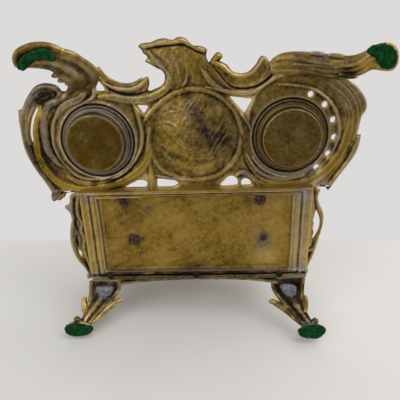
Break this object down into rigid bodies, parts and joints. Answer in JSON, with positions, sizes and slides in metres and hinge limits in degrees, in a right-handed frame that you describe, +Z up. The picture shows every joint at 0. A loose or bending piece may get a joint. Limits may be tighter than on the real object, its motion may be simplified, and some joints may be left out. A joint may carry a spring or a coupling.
{
  "type": "desk inkstand",
  "caption": "Footed desk inkstand: scrolled tray, shell dish, ink pots with hinged lids, letter rack on a moulded platform, felt-soled feet.",
  "frame": {"origin": "middle of the stand's footprint, on the desk", "axes": "+Z up, -Y towards the writer, +X to the writer's right"},
  "size_m": [0.2936, 0.2622, 0.131],
  "materials": {
    "gilt_brass": "aged gilt casting, golden on the ridges and grey-brown in the hollows",
    "tarnished_brass": "dull grey-brown casting",
    "plate_brass": "lacquered yellow plate with a fine mottle",
    "lead_solder": "dull rough solder",
    "green_felt": "dark green felt",
    "liner_glass": "clear pressed glass",
    "dark_steel": "dark oxidised steel"
  },
  "bodies": {
    "stand": {"front_casting": "gilt_brass", "platform": "plate_brass", "left_side_rail": "tarnished_brass", "right_side_rail": "tarnished_brass", "left_back_leg": "tarnished_brass", "right_back_leg": "tarnished_brass", "apron": "tarnished_brass", "leg_solder": "lead_solder", "left_front_felt": "green_felt", "right_front_felt": "green_felt", "left_back_felt": "green_felt", "right_back_felt": "green_felt", "rack_front": "gilt_brass", "rack_middle": "gilt_brass", "rack_back": "gilt_brass", "rack_screws": "dark_steel", "rack_rivets": "tarnished_brass"},
    "left_well": {"left_pot": "gilt_brass", "left_liner": "liner_glass", "left_hinge_pin": "dark_steel"},
    "left_cover": {"left_lid": "gilt_brass", "left_finial": "gilt_brass"},
    "right_well": {"right_pot": "gilt_brass", "right_liner": "liner_glass", "right_hinge_pin": "dark_steel"},
    "right_cover": {"right_lid": "gilt_brass", "right_finial": "gilt_brass"}
  },
  "joints": [
    {"name": "left_pot_lift", "type": "slide", "parent": "stand", "child": "left_well", "axis": [0, 0, 1], "range_m": [0, 0.05]},
    {"name": "right_pot_lift", "type": "slide", "parent": "stand", "child": "right_well", "axis": [0, 0, 1], "range_m": [0, 0.05]},
    {"name": "left_lid_hinge", "type": "hinge", "parent": "left_well", "child": "left_cover", "pos_m": [-0.0811, -0.0183, 0.0748], "axis": [-1, 0, 0], "range_deg": [0, 100]},
    {"name": "right_lid_hinge", "type": "hinge", "parent": "right_well", "child": "right_cover", "pos_m": [0.0819, -0.0183, 0.0748], "axis": [-1, 0, 0], "range_deg": [0, 100]}
  ]
}
